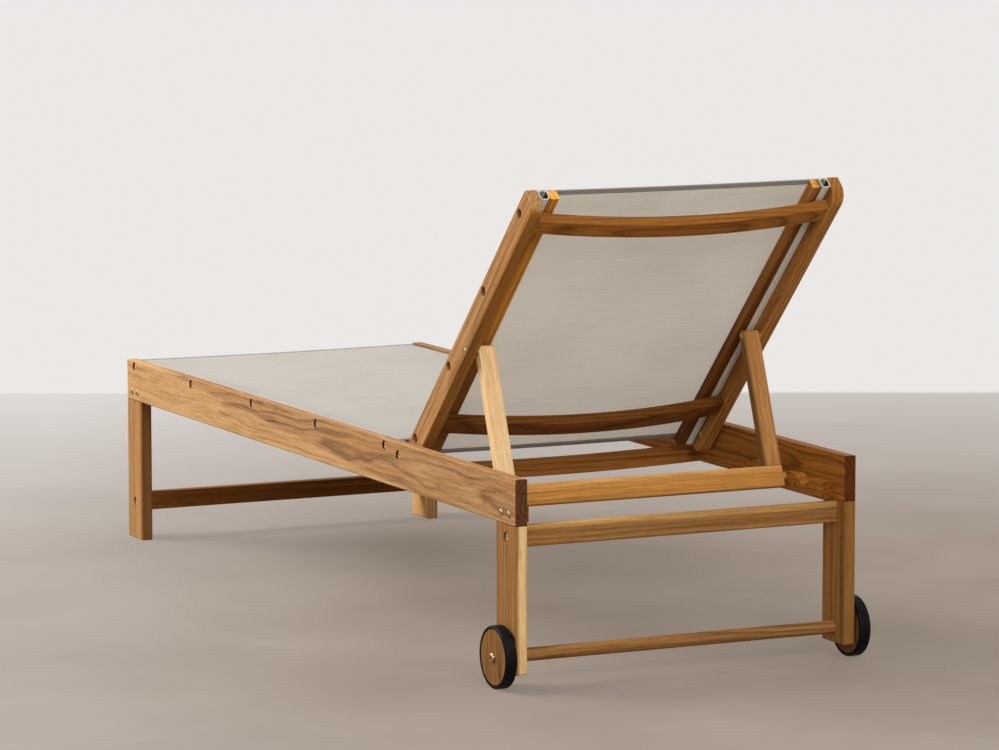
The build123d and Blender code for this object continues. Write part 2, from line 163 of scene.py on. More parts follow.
def joined(pieces, name):
    """Make one piece of several."""
    deselect()
    for piece in pieces:
        piece.select_set(True)
    bpy.context.view_layer.objects.active = pieces[0]
    if len(pieces) > 1:
        bpy.ops.object.join()
    whole = bpy.context.view_layer.objects.active
    whole.name = name
    whole.data.name = name
    return whole


def finish_piece(piece, material, body):
    """Give a piece its material, and say which body carries it."""
    piece.data.materials.clear()
    piece.data.materials.append(material)
    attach(piece, body)
    return piece


def reach(node, direction):
    """How far a CAD node reaches along a direction, from the frame's origin."""
    spread = [point.co.dot(direction) for point in nodes[node].data.vertices]
    return min(spread), max(spread)


# Materials

def new_material(name):
    material = bpy.data.materials.new(name)
    material.use_nodes = True
    tree = material.node_tree
    return material, tree, tree.nodes["Principled BSDF"]


def put(tree, kind, inputs=None, **settings):
    """Add a shader node, set its options, and set or link its input sockets."""
    node = tree.nodes.new(kind)
    for name, value in settings.items():
        setattr(node, name, value)
    for name, value in (inputs or {}).items():
        if isinstance(value, bpy.types.NodeSocket):
            tree.links.new(value, node.inputs[name])
        else:
            node.inputs[name].default_value = value
    return node


def ramp(tree, value, stops):
    """A colour ramp from (position, colour) stops."""
    node = put(tree, "ShaderNodeValToRGB", {"Fac": value})
    points = node.color_ramp.elements
    while len(points) < len(stops):
        points.new(0.5)
    for point, (position, colour) in zip(points, stops):
        point.position = position
        point.color = (*colour, 1)
    return node.outputs["Color"]


def level(tree, value, low, high, out_low, out_high):
    """Stretch a number from low and high to out_low and out_high, and stop it there."""
    node = put(tree, "ShaderNodeMapRange", {"Value": value, "From Min": low, "From Max": high,
                                            "To Min": out_low, "To Max": out_high})
    return node.outputs["Result"]


def blend(tree, kind, share, first, second):
    """Mix two colours."""
    node = put(tree, "ShaderNodeMix", data_type="RGBA", blend_type=kind)
    for socket, value in ((node.inputs[0], share), (node.inputs[6], first), (node.inputs[7], second)):
        if isinstance(value, bpy.types.NodeSocket):
            tree.links.new(value, socket)
        elif isinstance(value, tuple):
            socket.default_value = (*value, 1)
        else:
            socket.default_value = value
    return node.outputs[2]


def reckon(tree, operation, *values, **settings):
    """Work out a number from one to three others."""
    node = put(tree, "ShaderNodeMath", dict(enumerate(values)), operation=operation, **settings)
    return node.outputs["Value"]


def reckon_vectors(tree, operation, first, second):
    """Work out a vector from two others, or the number that is their dot product."""
    node = put(tree, "ShaderNodeVectorMath", {0: first, 1: second}, operation=operation)
    return node.outputs["Value" if operation == "DOT_PRODUCT" else "Vector"]


def laid(tree, place, **changes):
    """A place after a Location, Rotation or Scale."""
    return put(tree, "ShaderNodeMapping", {"Vector": place, **changes}).outputs["Vector"]


def noise(tree, place, scale, detail):
    node = put(tree, "ShaderNodeTexNoise", {"Vector": place, "Scale": scale, "Detail": detail})
    return node.outputs["Fac"]


def grain_noise(tree, board, scale, detail):
    """Noise drawn out along the board."""
    node = put(tree, "ShaderNodeTexNoise", {"Vector": laid(tree, board, Scale=scale), "Scale": 1.0,
                                            "Detail": detail, "Roughness": 0.6})
    return node.outputs["Fac"]


def raise_relief(tree, shader, height, strength, distance):
    """Give a surface fine relief."""
    bump = put(tree, "ShaderNodeBump", {"Height": height, "Strength": strength, "Distance": distance})
    tree.links.new(bump.outputs["Normal"], shader.inputs["Normal"])


def mix_shaders(tree, share, first, second):
    return put(tree, "ShaderNodeMixShader", {0: share, 1: first, 2: second}).outputs["Shader"]


def seen(tree):
    """1 for what the camera or a reflection shows, 0 for what only lights the lounger."""
    path = put(tree, "ShaderNodeLightPath")
    return reckon(tree, "MAXIMUM", path.outputs["Is Camera Ray"], path.outputs["Is Glossy Ray"])


def curly(tree, board, curl):
    """Let a board's grain wander sideways by up to about a fifth of curl."""
    bends = laid(tree, board, Scale=(4.5, 13, 13))
    sway = put(tree, "ShaderNodeTexNoise", {"Vector": bends, "Scale": 1.0, "Detail": 1.0})
    aside = reckon_vectors(tree, "SUBTRACT", sway.outputs["Color"], (0.5, 0.5, 0.5))
    push = reckon_vectors(tree, "MULTIPLY", aside, (0, curl, curl))
    return reckon_vectors(tree, "ADD", board, push)


def past_edge(tree, place, patches, direction, edge, fade):
    """How far a spot lies past a wavy edge across a direction: 0 before it, 0.9 well past it."""
    waviness = 0.012
    across = reckon_vectors(tree, "DOT_PRODUCT", place, direction)
    wavy = reckon(tree, "MULTIPLY_ADD", patches, waviness, across)
    return level(tree, wavy, edge - 0.4 * fade, edge + 0.6 * fade, 0.0, 0.9)


def oiled_wood(name, tone, turn, pith, drift, end_tint_and_light, sap_and_light_edge, curl, streak_share):
    """One board: growth rings round a pith beside it, fibre streaks, dark veins, pores, end grain, and on
    some boards painted light and shade.

    turn lays the board's length along X, pith is the log's middle from there, and drift tilts the log.
    The edge entry, where the board has one, is (direction, edge, fade, colour): past the edge the wood
    changes to that colour. On some boards that is a change in the wood itself; on the others it is painted
    light and painted shade on single faces and ends.
    """
    pale, middle, dark, amber = tone
    material, tree, shader = new_material(name)
    spot = put(tree, "ShaderNodeTexCoord")
    place = spot.outputs["Object"]
    board = laid(tree, place, Rotation=turn)
    if curl:
        board = curly(tree, board, curl)
    log = laid(tree, board, Location=pith, Rotation=drift, Scale=(0.16, 1, 1))
    rings = put(tree, "ShaderNodeTexWave",
                {"Vector": log, "Scale": 36.0, "Distortion": 6.5, "Detail": 4.0,
                 "Detail Scale": 0.4, "Detail Roughness": 0.6},
                wave_type="RINGS", rings_direction="X", wave_profile="SAW").outputs["Fac"]
    streaks = grain_noise(tree, board, (3.2, 150, 150), 5.0)
    fibres = grain_noise(tree, board, (16, 620, 620), 2.0)
    veins = grain_noise(tree, board, (1.2, 70, 70), 3.0)
    pores = grain_noise(tree, board, (45, 1000, 1000), 1.0)
    patches = grain_noise(tree, board, (1.6, 18, 18), 3.0)

    ringed = ramp(tree, rings, [(0.0, middle), (0.22, pale), (0.64, middle), (0.9, dark), (1.0, middle)])
    soft = blend(tree, "MIX", 0.25, ringed, middle)
    tinted = blend(tree, "MIX", level(tree, patches, 0.4, 0.64, 0.0, 0.8), soft, amber)
    # Past an edge the colour changes: a change in the wood on some boards, painted light and shade on
    # others.
    if sap_and_light_edge:
        direction, edge, fade, colour = sap_and_light_edge
        tinted = blend(tree, "MIX", past_edge(tree, place, patches, direction, edge, fade), tinted, colour)
    shades = ramp(tree, streaks, [(0.3, (0.6, 0.51, 0.42)), (0.5, (0.91, 0.88, 0.85)), (0.66, (1, 1, 1))])
    streaky = blend(tree, "MULTIPLY", streak_share, tinted, shades)
    veined = blend(tree, "MULTIPLY", level(tree, veins, 0.6, 0.7, 0.0, 0.65), streaky, (0.45, 0.33, 0.23))
    fibred = blend(tree, "MULTIPLY", level(tree, fibres, 0.38, 0.6, 0.4, 0.0), veined, (0.5, 0.42, 0.34))
    pored = blend(tree, "MULTIPLY", level(tree, pores, 0.6, 0.72, 0.0, 0.45), fibred, (0.34, 0.24, 0.17))

    facing = put(tree, "ShaderNodeMapping", {"Vector": spot.outputs["Normal"], "Rotation": turn},
                 vector_type="VECTOR").outputs["Vector"]
    lengthwise = put(tree, "ShaderNodeSeparateXYZ", {"Vector": facing}).outputs["X"]
    end_face = level(tree, reckon(tree, "ABSOLUTE", lengthwise), 0.5, 0.68, 0.0, 1.0)
    # End grain darkens a board's ends; where the end colour is above 1 it paints light on a top end
    # instead.
    grain_and_lit_end = blend(tree, "MULTIPLY", 1.0, pored, end_tint_and_light)
    tree.links.new(blend(tree, "MIX", end_face, pored, grain_and_lit_end), shader.inputs["Base Color"])
    tree.links.new(level(tree, streaks, 0.3, 0.7, 0.62, 0.48), shader.inputs["Roughness"])
    raise_relief(tree, shader, reckon(tree, "SUBTRACT", streaks, pores), 0.25, 0.0006)
    shader.inputs["Specular IOR Level"].default_value = 0.09
    return material


def sling_mesh(name, turn, yarn, gap, through):
    """Coated yarn in a plain weave, which lets a share of the light through."""
    yarn_scale = 262.0
    material, tree, shader = new_material(name)
    place = put(tree, "ShaderNodeTexCoord").outputs["Object"]
    flat = laid(tree, place, Rotation=turn)
    weft, warp = (put(tree, "ShaderNodeTexWave", {"Vector": flat, "Scale": yarn_scale},
                      bands_direction=way).outputs["Fac"] for way in ("X", "Y"))
    yarns = reckon(tree, "MULTIPLY", weft, warp)
    clouds = noise(tree, flat, 7.0, 4.0)
    picks = grain_noise(tree, flat, (9, 420, 420), 2.0)
    woven = ramp(tree, yarns, [(0.0, gap), (0.4, yarn)])
    banded = blend(tree, "MULTIPLY", level(tree, picks, 0.4, 0.65, 0.0, 0.3), woven, (0.8, 0.79, 0.76))
    colour = blend(tree, "MULTIPLY", level(tree, clouds, 0.4, 0.65, 0.0, 0.25), banded, (0.86, 0.84, 0.8))
    tree.links.new(colour, shader.inputs["Base Color"])
    tree.links.new(level(tree, yarns, 0.0, 1.0, 0.72, 0.55), shader.inputs["Roughness"])
    raise_relief(tree, shader, yarns, 0.35, 0.0004)
    shader.inputs["Specular IOR Level"].default_value = 0.3
    if through:
        glow = put(tree, "ShaderNodeBsdfTranslucent", {"Color": colour}).outputs["BSDF"]
        both = mix_shaders(tree, through, shader.outputs["BSDF"], glow)
        tree.links.new(both, tree.nodes["Material Output"].inputs["Surface"])
    return material


def channel_shade_mask(tree, spot, middle_x, mouth):
    """Where a channel's wall faces its own inside, which gets painted shade: 1 there and 0 outside."""
    facing = spot.outputs["Normal"]
    across = reckon_vectors(tree, "SUBTRACT", spot.outputs["Object"], (middle_x, 0, 0))
    sideways = reckon_vectors(tree, "MULTIPLY", across, (1, 0, 0))
    outward = reckon_vectors(tree, "DOT_PRODUCT", sideways, facing)
    upward = reckon_vectors(tree, "DOT_PRODUCT", facing, mouth)
    side = level(tree, outward, -0.004, -0.002, 1.0, 0.0)
    bottom = level(tree, upward, 0.4, 0.7, 0.0, 1.0)
    return reckon(tree, "MAXIMUM", side, bottom)


def brushed_metal(name, colour, worn, rough, stretch, bare=1.0, shaded_channel=None):
    """Metal with fine drawn lines and duller patches.

    bare is how far the metal shows through its coat. The channel entry, where there is one, is (middle_x,
    mouth) of a channel whose inner walls and bottom are darkened as painted shade.
    """
    material, tree, shader = new_material(name)
    spot = put(tree, "ShaderNodeTexCoord")
    place = spot.outputs["Object"]
    lines = grain_noise(tree, place, stretch, 2.0)
    patches = noise(tree, place, 60.0, 3.0)
    finish = blend(tree, "MIX", level(tree, patches, 0.4, 0.7, 0.0, 0.8), colour, worn)
    if shaded_channel:
        # Painted shade: a channel's inner walls and bottom are darkened to dark brown.
        finish = blend(tree, "MULTIPLY", channel_shade_mask(tree, spot, *shaded_channel), finish, (0.11, 0.075, 0.042))
    tree.links.new(finish, shader.inputs["Base Color"])
    shine = reckon(tree, "ADD", lines, patches)
    tree.links.new(level(tree, shine, 0.7, 1.3, rough - 0.08, rough + 0.12), shader.inputs["Roughness"])
    raise_relief(tree, shader, lines, 0.12, 0.0002)
    shader.inputs["Metallic"].default_value = bare
    return material


def tyre_rubber():
    """Dull black rubber with a little dust and a pebbled skin."""
    material, tree, shader = new_material("tyre_rubber")
    place = put(tree, "ShaderNodeTexCoord").outputs["Object"]
    dust = noise(tree, place, 38.0, 5.0)
    pebble = noise(tree, place, 900.0, 2.0)
    tree.links.new(ramp(tree, dust, [(0.4, (0.003, 0.0028, 0.003)), (0.75, (0.009, 0.008, 0.008))]),
                   shader.inputs["Base Color"])
    tree.links.new(level(tree, dust, 0.35, 0.7, 0.42, 0.62), shader.inputs["Roughness"])
    raise_relief(tree, shader, pebble, 0.2, 0.0002)
    shader.inputs["Specular IOR Level"].default_value = 0.08
    return material


def plain_thread(name, colour):
    """Twisted yarn, or the plastic core of a cloth's edge bead."""
    material, tree, shader = new_material(name)
    place = put(tree, "ShaderNodeTexCoord").outputs["Object"]
    twist = noise(tree, place, 1400.0, 2.0)
    shaded = tuple(part * 0.7 for part in colour)
    tree.links.new(ramp(tree, twist, [(0.35, shaded), (0.65, colour)]), shader.inputs["Base Color"])
    raise_relief(tree, shader, twist, 0.3, 0.0002)
    shader.inputs["Roughness"].default_value = 0.7
    return material


# Wood tones: pale, middle, dark and amber
biscuit = ((0.575, 0.34, 0.16), (0.46, 0.252, 0.11), (0.19, 0.088, 0.034), (0.49, 0.262, 0.1))
honey = ((0.56, 0.32, 0.135), (0.45, 0.235, 0.09), (0.2, 0.088, 0.03), (0.5, 0.25, 0.082))
straw = ((0.98, 0.73, 0.42), (0.95, 0.67, 0.36), (0.78, 0.5, 0.24), (0.93, 0.61, 0.29))
marigold = ((0.76, 0.36, 0.056), (0.62, 0.272, 0.038), (0.3, 0.11, 0.014), (0.56, 0.232, 0.028))
wheat = ((0.9, 0.56, 0.23), (0.78, 0.45, 0.17), (0.42, 0.2, 0.06), (0.72, 0.4, 0.13))
golden = ((0.63, 0.335, 0.12), (0.51, 0.245, 0.078), (0.225, 0.085, 0.026), (0.46, 0.2, 0.056))
russet = ((0.43, 0.18, 0.038), (0.34, 0.132, 0.025), (0.14, 0.046, 0.008), (0.38, 0.145, 0.026))
copper = ((0.57, 0.245, 0.045), (0.45, 0.178, 0.028), (0.19, 0.064, 0.01), (0.5, 0.195, 0.03))
amber_gold = ((0.7, 0.355, 0.088), (0.57, 0.265, 0.06), (0.27, 0.108, 0.022), (0.63, 0.295, 0.064))
chestnut = ((0.55, 0.27, 0.07), (0.44, 0.2, 0.048), (0.19, 0.074, 0.016), (0.5, 0.225, 0.05))
mahogany = ((0.22, 0.08, 0.012), (0.165, 0.056, 0.008), (0.07, 0.02, 0.003), (0.18, 0.06, 0.009))
umber = ((0.42, 0.22, 0.075), (0.32, 0.155, 0.05), (0.14, 0.058, 0.018), (0.38, 0.182, 0.053))
walnut = ((0.33, 0.168, 0.055), (0.25, 0.118, 0.036), (0.11, 0.044, 0.012), (0.3, 0.14, 0.038))

# What end grain does to a board's colour. The two colours above 1 are not end grain: they lighten a top
# end, where the lamps catch it, as painted light.
dark_end = (0.26, 0.19, 0.15)
brown_end = (0.56, 0.43, 0.35)
mild_end = (0.88, 0.82, 0.75)
clear_painted_lit_end = (1.1, 1.2, 1.3)
pale_painted_lit_end = (1.7, 2.0, 2.4)

# Each board's tone, the turn of its length, its log's pith and the log's drift
boards = {
    "left_side_rail": (biscuit, along_y, (0.3, 0.275, -0.31), (0.0, 0.05, 0.13)),
    "right_side_rail": (copper, along_y, (0.1, -0.28, -0.33), (0.0, -0.04, 0.1)),
    "left_front_leg": (honey, along_z, (0.5, 0.85, 0.29), (0.0, 0.12, 0.05)),
    "right_front_leg": (wheat, along_z, (0.2, 0.83, -0.28), (0.0, 0.1, -0.05)),
    "left_rear_leg": (umber, along_z, (0.0, -0.875, 0.34), (0.0, 0.04, 0.03)),
    "right_rear_leg": (chestnut, along_z, (0.7, -0.83, -0.36), (0.0, 0.04, 0.03)),
    "front_stretcher": (mahogany, along_x, (0.0, 0.9, -0.05), (0.0, 0.05, 0.05)),
    "rear_cross_rail": (umber, along_x, (0.4, -0.88, -0.21), (0.0, 0.05, 0.04)),
    "axle_dowel": (umber, along_x, (0.0, -0.84, -0.04), (0.0, 0.25, 0.2)),
    "seat_foot_rail": (russet, along_x, (0.2, 0.8, -0.25), (0.0, 0.05, 0.05)),
    "seat_middle_rail": (umber, along_x, (0.5, 0.25, -0.25), (0.0, 0.05, 0.05)),
    "seat_rear_rail": (russet, along_x, (0.8, -0.38, -0.26), (0.0, 0.06, 0.05)),
    "left_rack": (copper, along_y, (0.2, 0.3, -0.26), (0.0, 0.1, 0.1)),
    "right_rack": (copper, along_y, (0.6, -0.32, -0.25), (0.0, 0.1, 0.1)),
    "left_seat_batten": (umber, along_y, (0.9, 0.31, -0.33), (0.0, 0.03, 0.05)),
    "right_seat_batten": (russet, along_y, (0.4, -0.31, -0.33), (0.0, 0.03, 0.05)),
    "left_stile": (honey, along_back, (0.5, 0.25, 0.08), (0.0, 0.05, 0.1)),
    "right_stile": (chestnut, along_back, (0.1, -0.33, 0.09), (0.0, 0.05, -0.1)),
    "left_back_batten": (marigold, along_back, (0.7, 0.28, 0.07), (0.0, 0.04, 0.06)),
    "right_back_batten": (mahogany, along_back, (0.3, -0.21, 0.07), (0.0, 0.04, 0.06)),
    "lower_back_rail": (mahogany, along_x, (0.6, -0.44, -0.43), (0.0, 0.06, 0.05)),
    "upper_back_rail": (russet, along_x, (0.2, -0.9, -0.74), (0.0, 0.06, 0.05)),
    "left_prop_leg": (straw, along_prop, (0.3, 0.2, 0.2), (0.0, 0.08, 0.06)),
    "right_prop_leg": (golden, along_prop, (0.9, -0.3, 0.2), (0.0, 0.08, 0.06)),
    "prop_crossbar": (amber_gold, along_x, (0.5, -0.72, -0.27), (0.0, 0.06, 0.03)),
    "left_wheel_disc": (walnut, along_z, (0.4, -0.87, 0.37), (0.0, 0.2, 0.1)),
    "right_wheel_disc": (walnut, along_z, (0.8, -0.82, -0.3), (0.0, 0.2, 0.1)),
}
lit_and_grain_ends = {
    "left_side_rail": dark_end,
    "right_side_rail": dark_end,
    "left_rack": brown_end,
    "right_rack": brown_end,
    # Painted light: the left stile's and the back battens' top ends are lighter, where the lamps catch
    # them.
    "left_stile": clear_painted_lit_end,
    "left_back_batten": pale_painted_lit_end,
    "right_back_batten": pale_painted_lit_end,
}

# How far the grain wanders, and how strong the fibre streaks are
curls = {"left_side_rail": 0.022, "right_side_rail": 0.016, "left_stile": 0.01, "right_stile": 0.012}
streak_shares = {"left_prop_leg": 0.4, "left_back_batten": 0.6}
usual_streaks = 0.85

# Where a board changes colour: the direction, the edge, how softly it fades, and the colour past the edge.
# The entries marked painted light or painted shade below stand in for light; the right rear leg's only
# darkens its rear face; the rest are changes in the wood's colour.
# Waviness brings an edge about 6 mm nearer, so one just outside a face colours little but that face.
# The right back batten is paler on its face towards the sling and towards its top, as painted light, and
# the left one darker towards its foot, as painted shade.
sharp = 0.005
outside = 0.002
batten_fade = Vector((1, 0, 0)) + 0.04 * back_along
prop_top = (0.014, -math.sin(prop_lean), math.cos(prop_lean))
left_batten_foot = reach("left_back_batten", back_along)[0]
wood_and_painted_light_edges = {
    "left_rear_leg": ((-1, 0, 0), -0.316, sharp, (0.95, 0.67, 0.33)),
    "left_side_rail": ((0, -0.067, -1), -0.306, sharp, (0.62, 0.375, 0.165)),
    # Painted light: the rear cross rail's top face is paler, where the lamps fall on it.
    "rear_cross_rail": ((0, 0, 1), 0.275, sharp, (0.62, 0.36, 0.125)),
    # Painted light: the crossbar's top face is paler, where the lamps fall on it.
    "prop_crossbar": (prop_top, 0.052, sharp, (0.88, 0.5, 0.17)),
    # Painted light: the front stretcher is paler towards its left end, where more light reaches under the
    # seat.
    "front_stretcher": ((1, 0, 0), 0.1, 0.44, (0.35, 0.135, 0.025)),
    # Painted shade: the left front leg's rear face, under the seat, is darker.
    "left_front_leg": ((0, 1, 0), -0.832, sharp, (0.27, 0.125, 0.035)),
    # The right rear leg is darker on its rear face.
    "right_rear_leg": ((0, 1, 0), 0.884, sharp, (0.3, 0.14, 0.035)),
    # Painted shade: the left stile's rear face, which faces down and away from the lamps, is darker.
    "left_stile": (back_rear, reach("left_stile", back_rear)[1] + outside, sharp, (0.33, 0.14, 0.022)),
    # Painted light: the right back batten's face towards the sling is paler, more so towards its top.
    "right_back_batten": (batten_fade, reach("right_back_batten", batten_fade)[1] - 0.005, 0.0185,
                          (0.62, 0.28, 0.07)),
    # Painted shade: the right prop leg's face towards the middle, in the backrest's shadow, is darker.
    "right_prop_leg": ((1, 0, 0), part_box("right_prop_leg")[1].x + outside, sharp, (0.27, 0.125, 0.036)),
    "right_side_rail": ((0, -1, 0), 0.2, 0.5, (0.34, 0.2, 0.085)),
    # Painted shade: the left back batten is darker towards its foot.
    "left_back_batten": (-back_along, -left_batten_foot - 0.34, 0.2, (0.26, 0.115, 0.022)),
}
for node, (tone, turn, pith, drift) in boards.items():
    nodes[node].material_slots[0].material = oiled_wood(
        f"{node}_wood", tone, turn, pith, drift, lit_and_grain_ends.get(node, mild_end), wood_and_painted_light_edges.get(node),
        curls.get(node, 0), streak_shares.get(node, usual_streaks))

even_lines = (500, 500, 500)
bolt_metal = brushed_metal("bolt_metal", (0.52, 0.4, 0.21), (0.34, 0.25, 0.13), 0.34, even_lines)
connector_metal = brushed_metal("connector_metal", (0.68, 0.47, 0.265), (0.52, 0.35, 0.19), 0.5,
                                even_lines, bare=0.3)
for cloth, mouth in (("seat", Vector((0, 0, 1))), ("back", back_front)):
    for side in ("left", "right"):
        node = f"{side}_{cloth}_channel"
        low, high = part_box(node)
        # Each channel's inside gets painted shade.
        nodes[node].material_slots[0].material = brushed_metal(
            f"{node}_metal", (0.74, 0.755, 0.69), (0.63, 0.645, 0.585), 0.5, (60, 60, 60),
            bare=0.25, shaded_channel=((low.x + high.x) / 2, mouth))
for node in ("recline_spacers", "prop_nuts", "prop_washers", "wheel_washers"):
    nodes[node].material_slots[0].material = bolt_metal
rubber = tyre_rubber()

pale_yarn = (0.96, 0.935, 0.885)
pale_gap = (0.66, 0.635, 0.59)
# The hems' dark grey is painted shade, standing in for the light their double cloth does not let through.
shaded_hem_strands = (0.39, 0.375, 0.35)
shaded_hem_openings = (0.25, 0.24, 0.225)
light_through = 0.56
along_seat = (0, 0, 0)
up_back = (-back_angle, 0, 0)
seat_weave = sling_mesh("seat_weave", along_seat, pale_yarn, pale_gap, light_through)
back_weave = sling_mesh("back_weave", up_back, pale_yarn, pale_gap, light_through)
seat_hem = sling_mesh("seat_hem", along_seat, shaded_hem_strands, shaded_hem_openings, 0)
back_hem = sling_mesh("back_hem", up_back, shaded_hem_strands, shaded_hem_openings, 0)
hem_thread = plain_thread("hem_thread", (0.5, 0.48, 0.44))
# The bead cores are dark brown: partly their own plastic, partly painted shade in the channels' bottoms.
dark_bead_and_shade = plain_thread("dark_bead_and_shade", (0.14, 0.1, 0.07))


# Fasteners

def hexagon(angle, size):
    """The radius of a six-sided socket at an angle."""
    return size / math.cos(angle % (math.pi / 3) - math.pi / 6)


def cross(angle, size):
    """The radius of a cross recess at an angle."""
    slimness = 4.2
    arm = (angle + math.pi / 4) % (math.pi / 2) - math.pi / 4
    return size / max(math.cos(arm), slimness * abs(math.sin(arm)))


def headed_fastener(head_radius, head_height, shank_radius, shank_length, recess, recess_size):
    """A round-headed fastener along X, its head on the positive side of the origin."""
    rounding = 0.62 * head_height
    recess_depth = 0.55 * head_height
    recess_rim = 1.25 * recess_size
    deselect()
    bpy.ops.mesh.primitive_cylinder_add(vertices=24, radius=head_radius, depth=head_height,
                                        location=(head_height / 2, 0, 0), rotation=(0, math.pi / 2, 0))
    pin = settle(bpy.context.object)
    edit(pin)
    bpy.ops.mesh.select_mode(type="EDGE")
    pick_edges(pin, lambda end: end.x > 0.9 * head_height)
    bpy.ops.mesh.bevel(offset=rounding, segments=4, profile=0.5)
    bpy.ops.mesh.select_mode(type="FACE")
    pick_faces(pin, lambda middle, normal: normal.x > 0.99 and middle.x > 0.99 * head_height)
    bpy.ops.mesh.inset(thickness=head_radius - rounding - recess_rim, depth=0)
    bpy.ops.mesh.inset(thickness=0.15 * recess_size, depth=0)
    bpy.ops.object.mode_set(mode="OBJECT")
    recess_face = max(pin.data.polygons, key=lambda face: face.select)
    for corner in recess_face.vertices:
        point = pin.data.vertices[corner].co
        angle = math.atan2(point.z, point.y)
        radius = recess(angle, recess_size)
        point.y = radius * math.cos(angle)
        point.z = radius * math.sin(angle)
    bpy.ops.object.mode_set(mode="EDIT")
    bpy.ops.mesh.extrude_region_move(TRANSFORM_OT_translate={"value": (-recess_depth, 0, 0)})
    pick_faces(pin, lambda middle, normal: normal.x < -0.99 and middle.x < 0.01 * head_height)
    bpy.ops.mesh.inset(thickness=head_radius - shank_radius, depth=0)
    bpy.ops.mesh.extrude_region_move(TRANSFORM_OT_translate={"value": (-shank_length, 0, 0)})
    bpy.ops.object.mode_set(mode="OBJECT")
    bpy.ops.object.shade_smooth_by_angle(angle=math.radians(35))
    return pin


def fastener_boxes(node):
    """The lowest and highest corner of each fastener in a CAD node."""
    copy = copy_of(nodes[node], Matrix.Identity(4))
    edit(copy)
    bpy.ops.mesh.select_all(action="SELECT")
    bpy.ops.mesh.remove_doubles(threshold=merge_distance)
    bpy.ops.mesh.separate(type="LOOSE")
    bpy.ops.object.mode_set(mode="OBJECT")
    boxes = []
    for loose in list(bpy.context.selected_objects):
        points = [point.co for point in loose.data.vertices]
        boxes.append((Vector([min(point[i] for point in points) for i in range(3)]),
                      Vector([max(point[i] for point in points) for i in range(3)])))
        bpy.data.objects.remove(loose)
    return boxes


def fit_fasteners(node, body, metal, head_height, shank_radius, recess, recess_share, head_inside=False):
    """Stand modelled fasteners in the places of a CAD node's plain ones."""
    boxes = fastener_boxes(node)
    low, high = boxes[0]
    radius = (high.y - low.y) / 2
    model = headed_fastener(radius, head_height, shank_radius, high.x - low.x - head_height, recess,
                            recess_share * radius)
    copies = []
    for low, high in boxes:
        middle = (low + high) / 2
        head_to_left = (middle.x > 0) != head_inside
        turn = Matrix.Rotation(0 if head_to_left else math.pi, 4, "Z")
        head_base = high.x - head_height if head_to_left else low.x + head_height
        copies.append(copy_of(model, Matrix.Translation((head_base, middle.y, middle.z)) @ turn))
    bpy.data.objects.remove(model)
    whole = finish_piece(joined(copies, f"{node}_fitted"), metal, body)
    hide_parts(node)


# Head height, shank radius, recess and the recess's share of the head's radius
fit_fasteners("leg_bolts", "base", bolt_metal, 0.0026, 0.003, hexagon, 0.42)
fit_fasteners("stretcher_screws", "base", connector_metal, 0.0022, 0.002, hexagon, 0.3)
fit_fasteners("recline_bolts", "base", connector_metal, 0.0024, 0.005, hexagon, 0.3)
fit_fasteners("wheel_bolts", "base", bolt_metal, 0.0045, 0.004, hexagon, 0.38)
fit_fasteners("prop_bolts", "backrest", bolt_metal, 0.0026, 0.004, hexagon, 0.4)
fit_fasteners("seat_sling_screws", "base", connector_metal, 0.0022, 0.002, hexagon, 0.3)
fit_fasteners("back_sling_screws", "backrest", connector_metal, 0.0022, 0.002, hexagon, 0.3)
fit_fasteners("rack_screws", "base", bolt_metal, 0.0024, 0.002, cross, 0.5, head_inside=True)


# Tyres

def round_tyre(node, body):
    """A rubber band with round shoulders, turned about the wheel's axle."""
    low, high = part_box(node)
    radius = (high.z - low.z) / 2
    middle = (low + high) / 2
    deselect()
    bpy.ops.mesh.primitive_plane_add(size=1)
    band = bpy.context.object
    band.scale = (high.x - low.x, tyre_thickness, 1)
    band.location = (middle.x, middle.y + radius - tyre_thickness / 2, middle.z)
    settle(band)
    edit(band)
    bpy.ops.mesh.select_mode(type="VERT")
    bpy.ops.mesh.select_all(action="SELECT")
    bpy.ops.mesh.delete(type="ONLY_FACE")
    bpy.ops.object.mode_set(mode="OBJECT")
    for point in band.data.vertices:
        point.select = point.co.y > middle.y + radius - 0.5 * tyre_thickness
    bpy.ops.object.mode_set(mode="EDIT")
    bpy.ops.mesh.bevel(offset=tyre_shoulder, segments=6, affect="VERTICES")
    bpy.ops.mesh.select_all(action="SELECT")
    bpy.ops.mesh.spin(steps=96, angle=2 * math.pi, center=middle, axis=(1, 0, 0))
    bpy.ops.mesh.select_all(action="SELECT")
    bpy.ops.mesh.remove_doubles(threshold=merge_distance)
    bpy.ops.mesh.normals_make_consistent(inside=False)
    bpy.ops.object.mode_set(mode="OBJECT")
    bpy.ops.object.shade_smooth_by_angle(angle=math.radians(40))
    finish_piece(joined([band], f"{node}_round"), rubber, body)
    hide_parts(node)


round_tyre("left_tyre", "left_wheel")
round_tyre("right_tyre", "right_wheel")


# Slings

def bead_middle(bead_x):
    """How far the middle of a cloth's edge bead lies from the lounger's middle."""
    return bead_x - bead_radius + bead_outset


def bead_core(name, at, length):
    """The plastic rod in a cloth's long edge, made in the cloth's flat place."""
    deselect()
    bpy.ops.mesh.primitive_cylinder_add(vertices=12, radius=core_radius, depth=length - 2 * core_inset,
                                        location=(at, length / 2, -bead_drop),
                                        rotation=(math.pi / 2, 0, 0))
    rod = settle(bpy.context.object)
    edit(rod)
    bpy.ops.mesh.select_mode(type="FACE")
    pick_faces(rod, lambda middle, normal: abs(normal.y) > 0.9)
    bpy.ops.mesh.inset(thickness=0.3 * core_radius, depth=0.2 * core_radius)
    bpy.ops.object.mode_set(mode="OBJECT")
    bpy.ops.object.shade_smooth_by_angle(angle=math.radians(40))
    rod.name = name
    return rod


